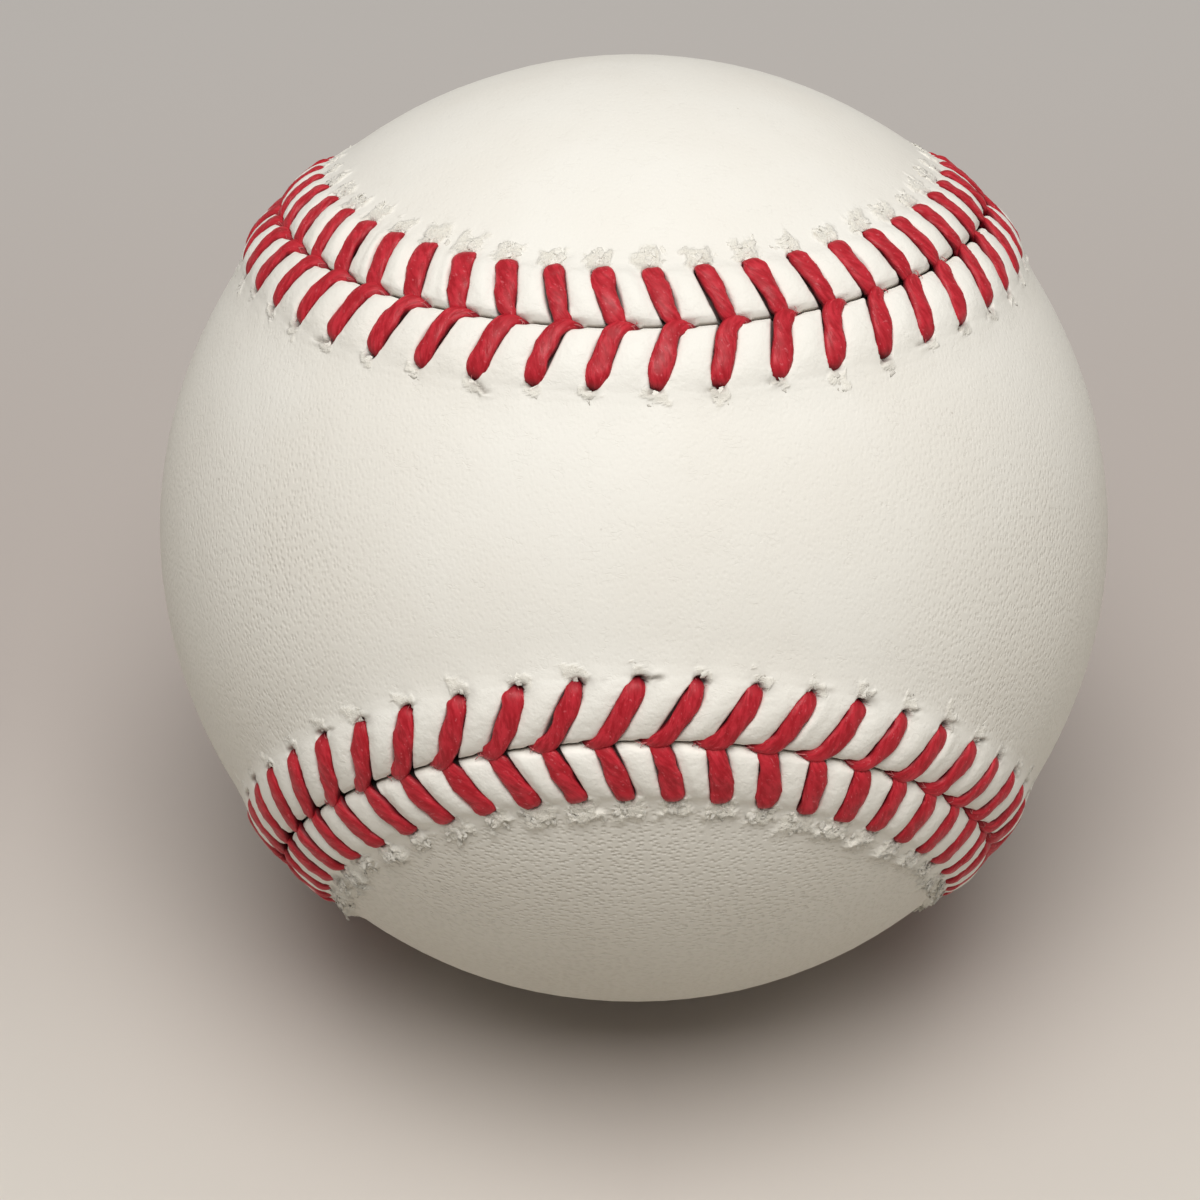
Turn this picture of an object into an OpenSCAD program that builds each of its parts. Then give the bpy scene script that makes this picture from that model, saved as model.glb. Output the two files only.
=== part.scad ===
// Hard ball for bat-and-ball games: a cork and rubber centre, wound yarn,
// and two figure-eight leather panels joined by a raised double stitch.
// The ball's centre is the origin and +Z is up. Seen from the front, along +Y,
// the narrow waist of the front panel is turned to the viewer and tipped up.

/* [Centre] */
// Diameter of the cork and rubber core
core_d = 20.6; // [18:0.1:23]
// Thickness of the black rubber cups round the core
black_t = 4; // [3:0.1:5]
// Thickness of each gasket between the black cups
gasket_t = 0.6; // [0.3:0.05:1]
// Thickness of the red rubber cups round the black ones
red_t = 2.4; // [1.5:0.1:3.5]

/* [Windings] */
// Thickness of the inner winding, four-ply grey wool
grey_inner_t = 13.6; // [10:0.1:18]
// Thickness of the middle winding, three-ply white wool
white_t = 1.8; // [1:0.1:3]
// Thickness of the outer winding, three-ply grey wool
grey_outer_t = 2.2; // [1:0.1:4]
// Thickness of the finishing winding, fine cotton
cotton_t = 0.45; // [0.3:0.05:1]
// Thickness of the coat of rubber cement
cement_t = 0.15; // [0.1:0.05:0.3]
// Clearance between one layer and the next
layer_gap = 0.05; // [0.02:0.01:0.1]

/* [Cover] */
// Thickness of the leather
leather_t = 1.3; // [1.1:0.05:1.6]
// Clearance between the coat of cement and the leather
cover_play = 0.45; // [0.4:0.05:0.6]
// Height of the leather that puffs up between two stitches
puff_h = 0.75; // [0.4:0.05:0.9]
// Gap between the edges of the two panels
seam_gap = 0.24; // [0.1:0.02:0.4]
// Drop of a panel's edge into the seam
edge_drop = 0.3; // [0.1:0.05:0.5]

/* [Seam] */
// Number of double stitches round the seam
stitches = 108; // [96:4:116]
// Distance of the awl holes from the seam
hole_set = 3.8; // [3.4:0.1:4.2]
// Distance of a stitch's inner end from the seam
end_set = 0.5; // [0.5:0.05:0.6]
// Mean lean of a stitch, from the seam back to its hole
lean = 1.3; // [0.5:0.1:1.8]
// Change of that lean, more at a panel's waist and less round its ends
lean_swing = 1.5; // [0:0.1:1.6]
// Tip of the seam about the left-right axis, in degrees
seam_tip = 35; // [0:1:90]

/* [Thread] */
// Width of the flattened thread
thread_w = 1.4; // [1:0.05:1.5]
// Thickness of the flattened thread
thread_t = 0.8; // [0.6:0.05:0.9]
// Height of a stitch's crest above the leather
crest_h = 1; // [0.8:0.05:1.2]
// Depth of a stitch's ends below the leather
sink_h = 0.45; // [0.3:0.05:0.6]
// Clearance between the thread and the leather
thread_play = 0.06; // [0.04:0.01:0.1]

/* [Hidden] */
$fn = 96;

// Radii from the centre outwards, each layer seated on the one inside it.
core_r = core_d / 2;
black_r = core_r + layer_gap + black_t;
red_r = black_r + layer_gap + red_t;
grey_inner_r = red_r + layer_gap + grey_inner_t;
white_r = grey_inner_r + layer_gap + white_t;
grey_outer_r = white_r + layer_gap + grey_outer_t;
cotton_r = grey_outer_r + layer_gap + cotton_t;
cement_r = cotton_r + layer_gap + cement_t;
lining_r = cement_r + cover_play;
ball_r = lining_r + leather_t;

// The seam is a closed curve on the ball, of the same form on both panels.
// Its two shares set how narrow the waists are and how far the ends wrap round.
curl_share = 0.5;
wrap_share = 1.22;
function unit(p) = p / norm(p);
function seam_at(v) = unit([
  sin(v) + curl_share * sin(3 * v),
  cos(v) - curl_share * cos(3 * v),
  wrap_share * cos(2 * v)
]);

// Running length along the seam, so that stitches can be spaced evenly.
seam_steps = 360;
run = [
  for (i = 0, s = 0; i <= seam_steps; s = s + norm(seam_at(i + 1) - seam_at(i)), i = i + 1)
    [s, i]
];
seam_run = run[seam_steps][0];
pitch = seam_run * ball_r / stitches;
function turn(q) = lookup((q / stitches - floor(q / stitches)) * seam_run, run);

// At stitch number q: outward, forward along the seam, and into the front panel.
function out_dir(q) = seam_at(turn(q));
function fore_dir(q) = unit(seam_at(turn(q) + 1) - seam_at(turn(q) - 1));
function side_dir(q) = unit(cross(fore_dir(q), out_dir(q)));

// A direction reached from stitch q by going d into the panel and b backwards.
function reach(q, d, b) =
  let (way = side_dir(q) * d - fore_dir(q) * b, a = norm([d, b]) / ball_r * 180 / PI)
  a == 0 ? out_dir(q) : out_dir(q) * cos(a) + unit(way) * sin(a);

// A stitch leans back from the seam to its hole, most where the panel is narrow.
lean_phase = 32;
function lean_at(q) = lean + lean_swing * cos(2 * turn(q) + lean_phase);

// The first stitch lies a little before the middle of the waist.
first_share = -0.37;
function station(k) = k + first_share;

// A stitch is an arc over the leather, from the seam to the awl hole.
mid_set = (end_set + hole_set) / 2;
arc_rise = crest_h - thread_t / 2 + sink_h;
function slant(q) = atan2(lean_at(q), hole_set);
function half_span(q) = (hole_set - end_set) / 2 / cos(slant(q));
function arc_r(q) = (half_span(q) ^ 2 + arc_rise ^ 2) / (2 * arc_rise);
function arc_half(q) = asin(half_span(q) / arc_r(q));
function arc_h(q) = crest_h - thread_t / 2 - arc_r(q);

// Under a stitch the leather follows the inside of the arc, at these shares of
// its radius from the seam's edge to the hole's inner edge.
under_shares = [-0.86, -0.5, 0, 0.72];
hole_row = len(under_shares);
function under_r(q) = arc_r(q) - thread_t / 2 - thread_play;

// The hole's outer edge clears the outside of the arc where the thread goes down.
function over_r(q) = arc_r(q) + thread_t / 2 + thread_play;

// Row by row, the groove's distance along the stitch from its middle, and height.
function groove_x(q, row) =
  row == hole_row ? over_r(q) * sin(arc_half(q)) : under_r(q) * under_shares[row];
function groove_h(q, row) = arc_h(q) + (
  row == hole_row ? over_r(q) * cos(arc_half(q))
    : under_r(q) * sqrt(1 - under_shares[row] ^ 2)
);

// Between stitches the leather puffs up: its distances from the seam, as shares
// of the hole's, and its heights, as shares of the puff's.
puff_shares = [0.22, 0.55, 0.86, 1.12];
swell_shares = [0.7, 1, 0.62, 0.16];
skirt_share = 1.5;
skirt_set = hole_set * skirt_share;

// Four columns of points to a stitch: both sides of its groove, then its puff.
col_shares = [0.3, 0.7];
per_stitch = 2 + len(col_shares);
function groove_half(q) = (thread_w / 2 + thread_play) / cos(slant(q));
function groove_col(k, sgn) = station(k) + sgn * groove_half(station(k)) / pitch;
function puff_col(k, share) =
  groove_col(k, 1) * (1 - share) + groove_col(k + 1, -1) * share;

// A point of the puffed leather at distance d and height h, leaning back there.
function skin(q, d, h) = (ball_r + h) * reach(q, d, lean_at(q) * d / hole_set);

// One ring of the outer face, row 0 being the panel's edge. The groove's sides
// run along the stitch, and its ends and the awl hole lie square to it.
function groove_point(k, sgn, row) =
  let (
    q = station(k),
    a = slant(q),
    x = groove_x(q, row),
    w = sgn * (thread_w / 2 + thread_play)
  )
  (ball_r + groove_h(q, row)) * reach(
    q,
    mid_set + x * cos(a) + w * sin(a),
    mid_set * tan(a) + x * sin(a) - w * cos(a)
  );
function puff_point(k, share, row) =
  let (q = puff_col(k, share))
  row == 0 ? skin(q, seam_gap / 2, -edge_drop)
    : skin(q, hole_set * puff_shares[row - 1], puff_h * swell_shares[row - 1]);
function outer_ring(row) = [
  for (k = [0:stitches - 1]) each [
    groove_point(k, -1, row),
    groove_point(k, 1, row),
    puff_point(k, col_shares[0], row),
    puff_point(k, col_shares[1], row)
  ]
];

// One ring of the lining, under the panel's edge or one of the awl hole's edges.
lining_rows = [0, hole_row - 1, hole_row];
function lined(p) = unit(p) * lining_r;
function lining_ring(row) = [
  for (k = [0:stitches - 1]) each [
    lined(groove_point(k, -1, row)),
    lined(groove_point(k, 1, row))
  ]
];
function skirt_ring(r) = [
  for (k = [0:stitches - 1]) r * reach(station(k), skirt_set, lean_at(station(k)))
];

// Inside the skirt, columns run from every second stitch to a spine along the
// middle of the panel, and those round an end meet at the end of the spine,
// this many degrees from the middle of the waist.
inner_cols = stitches / 2;
spine_reach = 120;
spine_end = round(stitches / 12);
function fold(j) =
  let (q = j > inner_cols / 2 ? j - inner_cols : j)
  abs(q) > inner_cols / 4 ? sign(q) * (inner_cols / 2 - abs(q)) : q;
function spine_stop(j) = max(-spine_end, min(spine_end, fold(j)));
function spine_dir(i) = let (a = spine_reach * i / spine_end) [sin(a), 0, cos(a)];
function blend(a, b, t) =
  let (w = acos(a * b)) (a * sin((1 - t) * w) + b * sin(t * w)) / sin(w);
inner_shares = [0.2, 0.4, 0.6, 0.8];
function inner_ring(r, share) = [
  for (j = [0:inner_cols - 1])
    r * blend(reach(2 * j, skirt_set, 0), spine_dir(spine_stop(j)), share)
];
function spine_row(r) = [for (i = [-spine_end:spine_end]) r * spine_dir(i)];

// Index lists: each ring of numbers starts where the last one stopped.
middle_sizes = concat(stitches, [for (s = inner_shares) inner_cols], 2 * spine_end + 1);
ring_sizes = concat(
  [for (row = [0:hole_row]) per_stitch * stitches], middle_sizes,
  [for (row = lining_rows) 2 * stitches], middle_sizes
);
function sum_to(list, n) = n == 0 ? 0 : list[n - 1] + sum_to(list, n - 1);
ring_starts = [for (i = [0:len(ring_sizes) - 1]) sum_to(ring_sizes, i)];
function whole(ring) = [for (i = [0:ring_sizes[ring] - 1]) ring_starts[ring] + i];
function to_fewer(ring, n, ahead = 0) = [
  for (i = [0:n * ring_sizes[ring] - 1])
    ring_starts[ring] + floor((i + ahead) / n) % ring_sizes[ring]
];
function to_spine(ring) =
  [for (j = [0:inner_cols - 1]) ring_starts[ring] + spine_stop(j) + spine_end];
function to_lining(ring) = [
  for (k = [0:stitches - 1]) each [
    ring_starts[ring] + 2 * k,
    ring_starts[ring] + 2 * k + 1,
    ring_starts[ring] + 2 * k + 1,
    ring_starts[ring] + (2 * k + 2) % (2 * stitches)
  ]
];

// Triangles between a ring and the ring inside it, whose numbers may repeat.
function strip(a, b, gaps = 0) = [
  for (j = [0:len(a) - 1])
    let (k = (j + 1) % len(a))
    if (gaps == 0 || j % gaps != 0) each concat(
      [[a[j], a[k], b[k]]],
      b[j] == b[k] ? [] : [[a[j], b[k], b[j]]]
    )
];
function flip(faces) = [for (f = faces) [f[2], f[1], f[0]]];
function hole_ring(in_ring, out_ring, step, k) =
  let (a = ring_starts[in_ring] + step * k, b = ring_starts[out_ring] + step * k)
  [a, a + 1, b + 1, b];

panel_points = concat(
  [for (row = [0:hole_row]) each outer_ring(row)],
  skirt_ring(ball_r),
  [for (s = inner_shares) each inner_ring(ball_r, s)],
  spine_row(ball_r),
  [for (row = lining_rows) each lining_ring(row)],
  skirt_ring(lining_r),
  [for (s = inner_shares) each inner_ring(lining_r, s)],
  spine_row(lining_r)
);
function middle_faces(skirt) = concat(
  strip(whole(skirt), to_fewer(skirt + 1, 2)),
  [for (i = [1:len(inner_shares) - 1]) each strip(whole(skirt + i), whole(skirt + i + 1))],
  strip(whole(skirt + len(inner_shares)), to_spine(skirt + len(inner_shares) + 1))
);
outer_skirt = hole_row + 1;
lining = outer_skirt + len(middle_sizes);
lining_skirt = lining + len(lining_rows);
outer_faces = concat(
  [for (row = [0:hole_row - 2]) each strip(whole(row), whole(row + 1))],
  strip(whole(hole_row - 1), whole(hole_row), per_stitch),
  strip(whole(hole_row), to_fewer(outer_skirt, per_stitch, 1)),
  middle_faces(outer_skirt)
);
lining_faces = concat(
  strip(whole(lining), whole(lining + 1)),
  strip(whole(lining + 1), whole(lining + 2), 2),
  strip(whole(lining + 2), to_fewer(lining_skirt, 2)),
  middle_faces(lining_skirt)
);
edge_faces = strip(whole(0), to_lining(lining));
hole_faces = [
  for (k = [0:stitches - 1])
    each strip(
      hole_ring(hole_row - 1, hole_row, per_stitch, k),
      hole_ring(lining + 1, lining + 2, 2, k)
    )
];

module cover_panel() {
  polyhedron(
    points = panel_points,
    faces = concat(outer_faces, flip(lining_faces), flip(edge_faces), hole_faces),
    convexity = 10
  );
}

// The ball's own turn, and the move that brings the front panel onto the back one.
module tipped() {
  rotate([90 - seam_tip, 0, 0]) children();
}

module swapped() {
  mirror([0, 0, 1]) rotate([0, 0, -90]) children();
}

// Cross-section of the thread: flat, with round sides.
module thread_section() {
  flat = thread_w - thread_t;
  square([thread_t, flat], center = true);
  for (side = [-1, 1]) {
    translate([0, side * flat / 2]) circle(d = thread_t, $fn = 32);
  }
}

// One leg of a double stitch, on the front panel's side of the seam.
module leg(k) {
  q = station(k);
  b = lean_at(q) / hole_set;
  x = reach(q, mid_set, b * mid_set);
  y = unit(cross(cross(x, reach(q, hole_set, b * hole_set)), x));
  z = cross(x, y);
  c = x * (ball_r + arc_h(q));
  multmatrix([
    [x.x, y.x, z.x, c.x],
    [x.y, y.y, z.y, c.y],
    [x.z, y.z, z.z, c.z]
  ])
    rotate([0, 0, -arc_half(q)])
      rotate_extrude(angle = 2 * arc_half(q), $fn = 64)
        translate([arc_r(q), 0]) thread_section();
}

// Each thread takes every second leg on one side, and those between on the other.
module thread(first) {
  other = (first + 1 + stitches / 4) % 2;
  for (k = [first:2:stitches - 1]) leg(k);
  swapped() for (k = [other:2:stitches - 1]) leg(k);
}

module shell(outer_r, inner_r) {
  difference() {
    sphere(r = outer_r);
    sphere(r = inner_r);
  }
}

module half_shell(outer_r, inner_r, foot) {
  difference() {
    shell(outer_r, inner_r);
    translate([-2 * outer_r, -2 * outer_r, foot - 4 * outer_r]) cube(4 * outer_r);
  }
}

module gasket() {
  translate([0, 0, layer_gap / 2]) difference() {
    cylinder(r = black_r, h = gasket_t);
    translate([0, 0, -gasket_t]) cylinder(r = core_r + layer_gap, h = 3 * gasket_t);
  }
}

module black_cup() {
  half_shell(black_r, core_r + layer_gap, gasket_t + layer_gap * 3 / 2);
}

module red_cup() {
  half_shell(red_r, black_r + layer_gap, layer_gap / 2);
}

module cork_core() {
  color("peru") sphere(r = core_r);
}

module black_cup_upper() {
  color("black") black_cup();
}

module black_cup_lower() {
  color("black") mirror([0, 0, 1]) black_cup();
}

module gasket_upper() {
  color("indianred") gasket();
}

module gasket_lower() {
  color("indianred") mirror([0, 0, 1]) gasket();
}

module red_cup_upper() {
  color("firebrick") red_cup();
}

module red_cup_lower() {
  color("firebrick") mirror([0, 0, 1]) red_cup();
}

module grey_wool_inner() {
  color("gray") shell(grey_inner_r, red_r + layer_gap);
}

module white_wool() {
  color("gainsboro") shell(white_r, grey_inner_r + layer_gap);
}

module grey_wool_outer() {
  color("darkgray") shell(grey_outer_r, white_r + layer_gap);
}

module cotton_winding() {
  color("ivory") shell(cotton_r, grey_outer_r + layer_gap);
}

module cement_coat() {
  color("khaki") shell(cement_r, cotton_r + layer_gap);
}

module cover_panel_front() {
  color("whitesmoke") tipped() cover_panel();
}

module cover_panel_back() {
  color("antiquewhite") tipped() swapped() cover_panel();
}

module thread_first() {
  color("crimson") tipped() thread(0);
}

module thread_second() {
  color("firebrick") tipped() thread(1);
}

cork_core();
black_cup_upper();
black_cup_lower();
gasket_upper();
gasket_lower();
red_cup_upper();
red_cup_lower();
grey_wool_inner();
white_wool();
grey_wool_outer();
cotton_winding();
cement_coat();
cover_panel_front();
cover_panel_back();
thread_first();
thread_second();
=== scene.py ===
"""A hard ball for bat-and-ball games: two figure-eight leather panels joined by a
raised double stitch of red waxed thread, over its wound core.

Lengths are in millimetres until a mesh is made. The seam is the one of the CAD."""
import math

import bpy
import numpy as np
from mathutils import Matrix, Vector


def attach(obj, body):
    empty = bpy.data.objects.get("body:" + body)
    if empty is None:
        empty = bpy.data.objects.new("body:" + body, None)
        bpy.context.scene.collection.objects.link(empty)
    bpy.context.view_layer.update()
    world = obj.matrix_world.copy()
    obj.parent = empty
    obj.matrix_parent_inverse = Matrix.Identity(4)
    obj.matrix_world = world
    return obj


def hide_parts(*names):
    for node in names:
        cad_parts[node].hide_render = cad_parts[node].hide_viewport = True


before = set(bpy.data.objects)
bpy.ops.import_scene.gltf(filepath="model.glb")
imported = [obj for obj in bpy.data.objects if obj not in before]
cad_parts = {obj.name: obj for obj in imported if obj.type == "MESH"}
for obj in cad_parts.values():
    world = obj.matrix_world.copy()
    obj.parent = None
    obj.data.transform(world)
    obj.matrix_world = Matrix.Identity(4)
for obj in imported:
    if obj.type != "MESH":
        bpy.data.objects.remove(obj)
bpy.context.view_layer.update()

MM = 0.001

# The ball and the lining of its leather.
BALL_R = 37.0
LINING_R = 35.7

# The seam's two shape values, and how far the ball is tipped towards the viewer.
CURL = 0.5
WRAP = 1.22
SEAM_TIP = 35

# The stitches. FIRST is where the first one stands, in stitches along the seam, and
# HOLE_SET is from the seam to an awl hole. REACH is how much further from the seam
# all of it lies than in the CAD, as the photo shows it.
STITCHES = 108
QUARTER = STITCHES // 4
FIRST = -0.37
HOLE_SET = 3.8
REACH = 1.07


# Points, noise and the seam.


def unit(p):
    return p / np.linalg.norm(p, axis=-1, keepdims=True)


def smooth(x, low, high):
    """From 0 at low to 1 at high, softly."""
    t = np.clip((x - low) / (high - low), 0, 1)
    return t * t * (3 - 2 * t)


def lattice(i, j, k, seed):
    """A fixed number from -1 to 1 for each whole-numbered point. Large primes scatter
    the numbers."""
    n = (i * 73856093) ^ (j * 19349663) ^ (k * 83492791) ^ (seed * 49979687)
    n = n & 0x7FFFFFFF
    n = (n ^ (n >> 13)) & 0x7FFFFFFF
    n = (n * ((n * n * 15731 + 789221) & 0x7FFFFFFF) + 1376312589) & 0x7FFFFFFF
    n = (n ^ (n >> 15)) & 0x7FFFFFFF
    return 1.0 - n / 1073741824.0


def noise(p, cell, seed=0):
    """Smooth value noise from -1 to 1 at points p, with cells of the given size."""
    x = p / cell
    base = np.floor(x).astype(np.int64)
    t = x - base
    t = t * t * (3 - 2 * t)
    total = 0
    for a in (0, 1):
        for b in (0, 1):
            for c in (0, 1):
                w = t[..., 0] if a else 1 - t[..., 0]
                w = w * (t[..., 1] if b else 1 - t[..., 1])
                w = w * (t[..., 2] if c else 1 - t[..., 2])
                total = total + w * lattice(
                    base[..., 0] + a, base[..., 1] + b, base[..., 2] + c, seed
                )
    return total


def seam_at(v):
    """The seam's direction at v degrees of its turn."""
    v = np.radians(np.asarray(v, float))
    x = np.sin(v) + CURL * np.sin(3 * v)
    y = np.cos(v) - CURL * np.cos(3 * v)
    return unit(np.stack([x, y, WRAP * np.cos(2 * v)], -1))


# The seam's length up to each whole degree.
DEGREES = np.arange(361)
RUN = np.r_[0, np.cumsum(np.linalg.norm(np.diff(seam_at(DEGREES), axis=0), axis=1))]


def turn(q):
    """The seam's turn in degrees at stitch number q, by even lengths along the seam."""
    return np.interp((np.asarray(q) / STITCHES % 1) * RUN[-1], RUN, DEGREES)


def seam_frame(q):
    """Outward, forward along the seam and into the front panel, at stitch number q."""
    v = turn(q)
    out = seam_at(v)
    fore = unit(seam_at(v + 1) - seam_at(v - 1))
    return out, fore, unit(np.cross(fore, out))


# How far back an awl hole lies from its stitch, by the seam's turn in degrees, on the
# front panel and on the back one. A ball is sewn by hand, so this isn't the same
# all the way round.
LEANS = {
    1: (
        [0, 10, 25, 60, 120, 158, 166, 173, 180, 190, 205, 240, 300, 335],
        [1.35, 1.3, 1.25, 1.5, 1.3, 1.0, 1.3, 1.9, 2.45, 2.7, 2.6, 1.8, 1.1, 1.0],
    ),
    -1: (
        [0, 6, 12, 18, 26, 60, 120, 152, 163, 173, 182, 190, 196, 204, 230, 300, 336, 345],
        [1.15, 0.8, 0.6, 0.35, 0.25, 0.8, 0.8, 0.5, 0.5, 1.0, 1.15, 1.3, 1.0, 0.1, 0.6]
        + [0.8, 0.85, 1.05],
    ),
}


def lean_at(q, sgn):
    return np.interp(turn(q), *LEANS[sgn], period=360)


def place(out, fore, side, f, d):
    """The direction that lies f forward of a point on the seam and d to its side."""
    way = side * d[..., None] + fore * f[..., None]
    far = np.linalg.norm(way, axis=-1, keepdims=True)
    return out * np.cos(far / BALL_R) + way / np.maximum(far, 1e-9) * np.sin(far / BALL_R)


# The move that brings the front panel onto the back one, and the ball's own tip.
SWAPPED = np.array([[0.0, 1.0, 0.0], [-1.0, 0.0, 0.0], [0.0, 0.0, -1.0]])
TIP = math.radians(90 - SEAM_TIP)
TIPPED = np.array(
    [[1, 0, 0], [0, math.cos(TIP), -math.sin(TIP)], [0, math.sin(TIP), math.cos(TIP)]]
)


class Body:
    """Points, faces and marks that become one mesh. A mark is a number at each point,
    or three numbers, that the materials read."""

    def __init__(self, *marks, vectors=()):
        self.count = 0
        self.points = []
        self.quads = []
        self.tris = []
        self.marks = {key: [] for key in marks}
        self.vectors = {key: [] for key in vectors}

    def add(self, points, **given):
        """Adds points with their marks, or nought, and returns the first one's number."""
        points = points.reshape(-1, 3)
        first = self.count
        self.count += len(points)
        self.points.append(points)
        for layers, shape in ((self.marks, len(points)), (self.vectors, points.shape)):
            for key, kept in layers.items():
                value = np.asarray(given.get(key, 0.0), float)
                kept.append(np.broadcast_to(value, shape))
        return first

    def build(self, name):
        points = np.concatenate(self.points)
        quads = np.concatenate(self.quads) if self.quads else np.zeros((0, 4), int)
        tris = np.concatenate(self.tris) if self.tris else np.zeros((0, 3), int)
        mesh = bpy.data.meshes.new(name)
        co = (points @ TIPPED.T * MM).astype(np.float32)
        corners = np.concatenate([quads.ravel(), tris.ravel()]).astype(np.int32)
        starts = np.r_[np.arange(len(quads)) * 4, len(quads) * 4 + np.arange(len(tris)) * 3]
        totals = np.r_[np.full(len(quads), 4), np.full(len(tris), 3)]
        mesh.vertices.add(len(co))
        mesh.vertices.foreach_set("co", co.ravel())
        mesh.loops.add(len(corners))
        mesh.loops.foreach_set("vertex_index", corners)
        mesh.polygons.add(len(starts))
        mesh.polygons.foreach_set("loop_start", starts.astype(np.int32))
        mesh.polygons.foreach_set("loop_total", totals.astype(np.int32))
        mesh.polygons.foreach_set("use_smooth", np.ones(len(starts), bool))
        mesh.update(calc_edges=True)
        kinds = ((self.marks, "FLOAT", "value"), (self.vectors, "FLOAT_VECTOR", "vector"))
        for layers, kind, field in kinds:
            for key, kept in layers.items():
                values = np.concatenate(kept).astype(np.float32).ravel()
                layer = mesh.attributes.new(key, kind, "POINT")
                layer.data.foreach_set(field, values)
        mesh.validate()
        piece = bpy.data.objects.new(name, mesh)
        bpy.context.scene.collection.objects.link(piece)
        print(name, len(points), "points", 2 * len(quads) + len(tris), "triangles")
        return piece


# Leather. Across a stitch the points lie this far from the thread's middle, and
# three more share out the leather up to the next stitch.
NEAR_COLS = np.array([0.3, 0.54, 0.64, 0.72, 0.79, 0.87, 0.98, 1.18])
STITCH_COLS = np.r_[-NEAR_COLS[::-1], 0, NEAR_COLS]
MID_SHARES = np.array([0.25, 0.5, 0.75])
PER_STITCH = len(STITCH_COLS) + len(MID_SHARES)

# Rows of points, by their distance from the seam.
ROWS = np.array(
    [0.05, 0.08, 0.13, 0.2, 0.3, 0.42, 0.56, 0.74, 0.96, 1.2, 1.5, 1.8, 2.1, 2.4]
    + [2.7, 2.95, 3.17, 3.36, 3.5, 3.62, 3.74, 3.86, 3.98, 4.1, 4.22, 4.34, 4.46]
    + [4.58, 4.7, 4.82, 4.94, 5.06, 5.18, 5.3, 5.42, 5.56, 5.8, 6.2, 6.8]
)

# The puffed leather between two stitches, its height by distance from the seam: where
# it runs out softly into the panel, and where it ends in a pillow.
PUFF_D = [0, 0.05, 0.09, 0.16, 0.28, 0.5, 0.85, 1.4, 2.1, 2.8, 3.3, 3.65, 3.9, 4.15, 4.5]
PUFF_D += [5.2, 6.1, 6.8]
PUFF = [-0.5, -0.2, 0.06, 0.24, 0.4, 0.54, 0.68, 0.79, 0.84, 0.78, 0.67, 0.56, 0.47, 0.39]
PUFF += [0.28, 0.13, 0.03, 0]
PILLOW = [-0.5, -0.2, 0.06, 0.24, 0.4, 0.54, 0.68, 0.79, 0.84, 0.8, 0.71, 0.59, 0.42, 0.26]
PILLOW += [0.14, 0.05, 0.01, 0]

# The leather under a thread, and half the width of the thread that presses it.
BED = (
    [0, 0.3, 0.6, 1, 1.6, 2.2, 2.8, 3.2, 3.5, 3.7, 3.95, 4.1, 4.3, 4.6, 5.2, 6.2, 7],
    [-0.6, -0.3, -0.05, 0.06, 0.12, 0.12, 0.06, -0.04, -0.2, -0.45, -0.5, -0.22, 0.02]
    + [0.1, 0.07, 0.02, 0],
)
HALF_D = [0, 0.3, 0.7, 1.2, 2.0, 2.8, 3.3, 3.6, 3.9, 4.1, 4.3, 7]
HALF = {
    1: [0.55, 0.62, 0.68, 0.73, 0.75, 0.73, 0.68, 0.6, 0.46, 0.3, 0.2, 0.2],
    -1: [0.55, 0.62, 0.7, 0.76, 0.78, 0.77, 0.76, 0.74, 0.66, 0.46, 0.24, 0.2],
}

# Beyond the awl holes the columns of points draw together by this share, over this
# span of distances from the seam. The stitches' lean ends a little past the holes.
DRAWN = 0.3
DRAWN_SPAN = (4.2, 6.8)
LEAN_END = HOLE_SET + 0.4

# Bands: where each begins, is full, begins to end and has ended. A front leg's tail
# goes by how far ahead of its stitch it is, squeezed leather by distance from a thread's
# edge, lip and puff by distance from the seam, torn leather by share of its reach.
TAIL_BAND = (0.1, 0.5, 1.3, 1.9)
SQUEEZE_BAND = (-0.1, 0.15, 0.3, 0.9)
LIP_BAND = (0.1, 0.3, 0.5, 1.3)
PUFF_BAND = (0.2, 0.5, 3.7, 4.6)
TORN_BAND = (-0.12, 0.08, 0.86, 1.0)

# Spans over which the leather rises from a thread's bed to the puff, by distance from
# the thread's edge, and gives way to the plain hide, by distance from the seam.
FLANK = (-0.2, 0.1)
PLAIN_STARTS = (4.2, 5.6)

# An awl hole's mouth, painted dark as shade, and the smudge round it, partly painted
# shade: the distance from the seam, and the half widths along the seam and across it.
MOUTH_D = 4.02
MOUTH_SIZE = (0.42, 0.24)
SMUDGE_SHADE_D = 4.4
SMUDGE_SHADE_SIZE = (0.75, 0.42)

# A crack in the leather: where it starts, half its width, its depth, and its lip.
CRACK_D = 4.12
CRACK_WIDE = 0.14
CRACK_DEEP = 0.3
LIP_OFF = 0.28
LIP_WIDE = 0.17
LIP_HIGH = 0.14

# What differs between the front panel, 1, and the back one, -1: the awl holes and the
# tears beyond them, the ridges there, how far cracks open, and how much tears show.
TEARS = {
    1: {
        "gape": (0.06, 0.34),
        "start": (3.98, 4.12),
        "reach": (0.6, 1.3),
        "width": (0.6, 1.0),
        "height": (0.0, 0.04),
        "middle": (-0.3, 0.3),
    },
    -1: {
        "gape": (0.02, 0.12),
        "start": (3.96, 4.04),
        "reach": (1.3, 1.9),
        "width": (0.85, 1.2),
        "height": (0.06, 0.14),
        "middle": (-0.2, 0.2),
    },
}
RIDGES = {1: 0.035, -1: 0.05}
CRACKS_OPEN = {1: 1, -1: 0.35}
TORN_SHOWS = {1: 0.6, -1: 1}

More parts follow.
